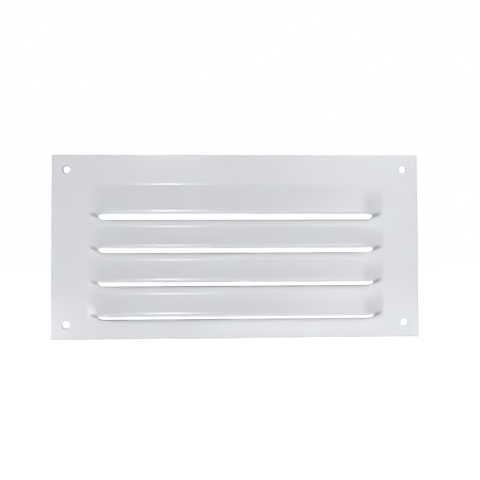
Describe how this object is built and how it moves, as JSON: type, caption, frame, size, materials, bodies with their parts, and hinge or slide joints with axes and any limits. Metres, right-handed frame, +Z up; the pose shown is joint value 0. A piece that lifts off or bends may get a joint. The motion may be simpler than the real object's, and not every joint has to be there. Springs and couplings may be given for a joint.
{
  "type": "ventilation grille",
  "caption": "Flat rectangular sheet-metal ventilation grille with horizontal louvres pressed outwards over long slots and a screw hole near each corner.",
  "frame": {"origin": "centre of the screw-hole rectangle on the back face of the plate, which lies on the wall", "axes": "+X along the louvres, to the right seen from the front; +Z up the plate; +Y into the wall, so the louvres stand out towards -Y"},
  "size_m": [0.2, 0.0068, 0.1],
  "materials": {
    "white_paint": "smooth semi-gloss white paint on sheet steel"
  },
  "bodies": {
    "root": {"grille_plate": "white_paint"}
  },
  "joints": []
}
